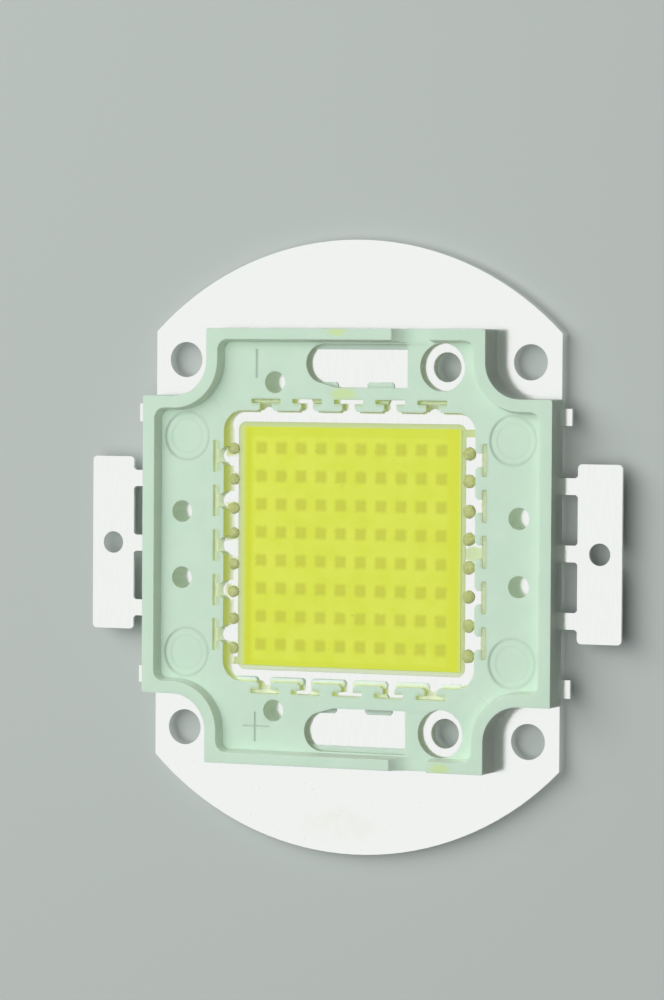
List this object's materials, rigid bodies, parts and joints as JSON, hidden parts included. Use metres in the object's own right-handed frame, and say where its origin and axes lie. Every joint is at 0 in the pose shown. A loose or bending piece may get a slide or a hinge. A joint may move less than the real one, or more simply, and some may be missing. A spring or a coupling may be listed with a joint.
{
  "type": "high-power led chip",
  "caption": "Flat high-power LED array: round-ended plated base, moulded frame with raised rim and slots, yellow gel window over the chips, and a flat lead on each side.",
  "frame": {"origin": "centre of the underside of the base plate, under the centre of the light window", "axes": "+Z out of the light window, X from lead to lead with the positive lead at +X, Y towards the round ends of the base"},
  "size_m": [0.0522, 0.056, 0.0043],
  "materials": {
    "plated_base": "bright plated copper",
    "moulded_frame": "fine satin",
    "plated_lead": "bright plated copper",
    "phosphor_gel": "glossy silicone",
    "seal_drop": "glossy silicone",
    "chip": "polished crystal",
    "bond_wire": "drawn gold"
  },
  "bodies": {
    "root": {"base_plate": "plated_base", "body_frame": "moulded_frame", "lead_frame_negative": "plated_lead", "lead_frame_positive": "plated_lead", "phosphor_gel": "phosphor_gel", "bond_seals_left": "seal_drop", "bond_seals_right": "seal_drop", "chip_row_1": "chip", "chip_row_2": "chip", "chip_row_3": "chip", "chip_row_4": "chip", "chip_row_5": "chip", "chip_row_6": "chip", "chip_row_7": "chip", "chip_row_8": "chip", "bond_wires_row_1": "bond_wire", "bond_wires_row_2": "bond_wire", "bond_wires_row_3": "bond_wire", "bond_wires_row_4": "bond_wire", "bond_wires_row_5": "bond_wire", "bond_wires_row_6": "bond_wire", "bond_wires_row_7": "bond_wire", "bond_wires_row_8": "bond_wire"}
  },
  "joints": []
}
